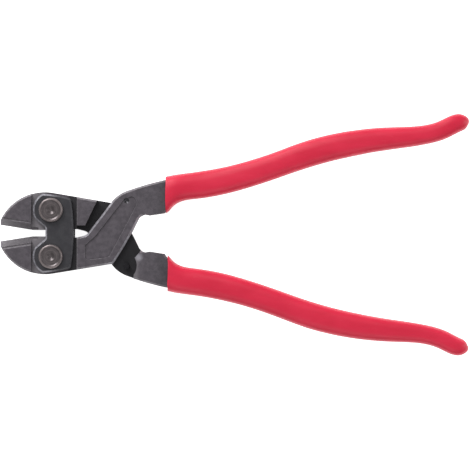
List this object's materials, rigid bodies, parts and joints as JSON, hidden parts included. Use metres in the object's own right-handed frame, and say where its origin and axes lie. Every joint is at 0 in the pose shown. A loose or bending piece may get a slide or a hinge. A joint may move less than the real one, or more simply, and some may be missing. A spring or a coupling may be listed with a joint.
{
  "type": "bolt cutters",
  "caption": "Compact double-pivot bolt cutters: two crossing forged levers held by link plates, curved jaws and long dipped handles.",
  "frame": {"origin": "under the centre of the whole tool's box, on the surface it lies on", "axes": "+X runs from the jaws to the handle ends, +Y to the side of the upper jaw, +Z is the tool's thickness, with the pivot bolt heads on top"},
  "size_m": [0.2554, 0.132, 0.021],
  "materials": {
    "forged_steel": "dark oxide, satin, with bright chamfers",
    "plate_steel": "darker oxide, satin",
    "pivot_steel": "turned steel, slightly bronze at the rim",
    "fastener_steel": "plain steel",
    "pin_steel": "hardened steel",
    "grip_vinyl": "dipped vinyl, soft gloss"
  },
  "bodies": {
    "link": {"front_link_plate": "plate_steel", "rear_link_plate": "plate_steel", "upper_pivot_bolt": "pivot_steel", "lower_pivot_bolt": "pivot_steel", "upper_pivot_washer": "fastener_steel", "lower_pivot_washer": "fastener_steel", "upper_pivot_nut": "fastener_steel", "lower_pivot_nut": "fastener_steel"},
    "lower_jaw": {"lower_jaw_lever": "forged_steel", "upper_grip": "grip_vinyl", "front_stop_pin": "pin_steel"},
    "upper_jaw": {"upper_jaw_lever": "forged_steel", "lower_grip": "grip_vinyl", "rear_stop_pin": "pin_steel"}
  },
  "joints": [
    {"name": "lower_jaw_pivot", "type": "hinge", "parent": "link", "child": "lower_jaw", "pos_m": [-0.0998, -0.0126, 0.0121], "axis": [0, 0, 1], "range_deg": [-9.2, 6.5]},
    {"name": "upper_jaw_pivot", "type": "hinge", "parent": "link", "child": "upper_jaw", "pos_m": [-0.0998, 0.0126, 0.0121], "axis": [0, 0, 1], "range_deg": [-6.5, 9.2]}
  ],
  "couplings": [
    {"joint": "upper_jaw_pivot", "follows": "lower_jaw_pivot", "ratio": -1}
  ]
}
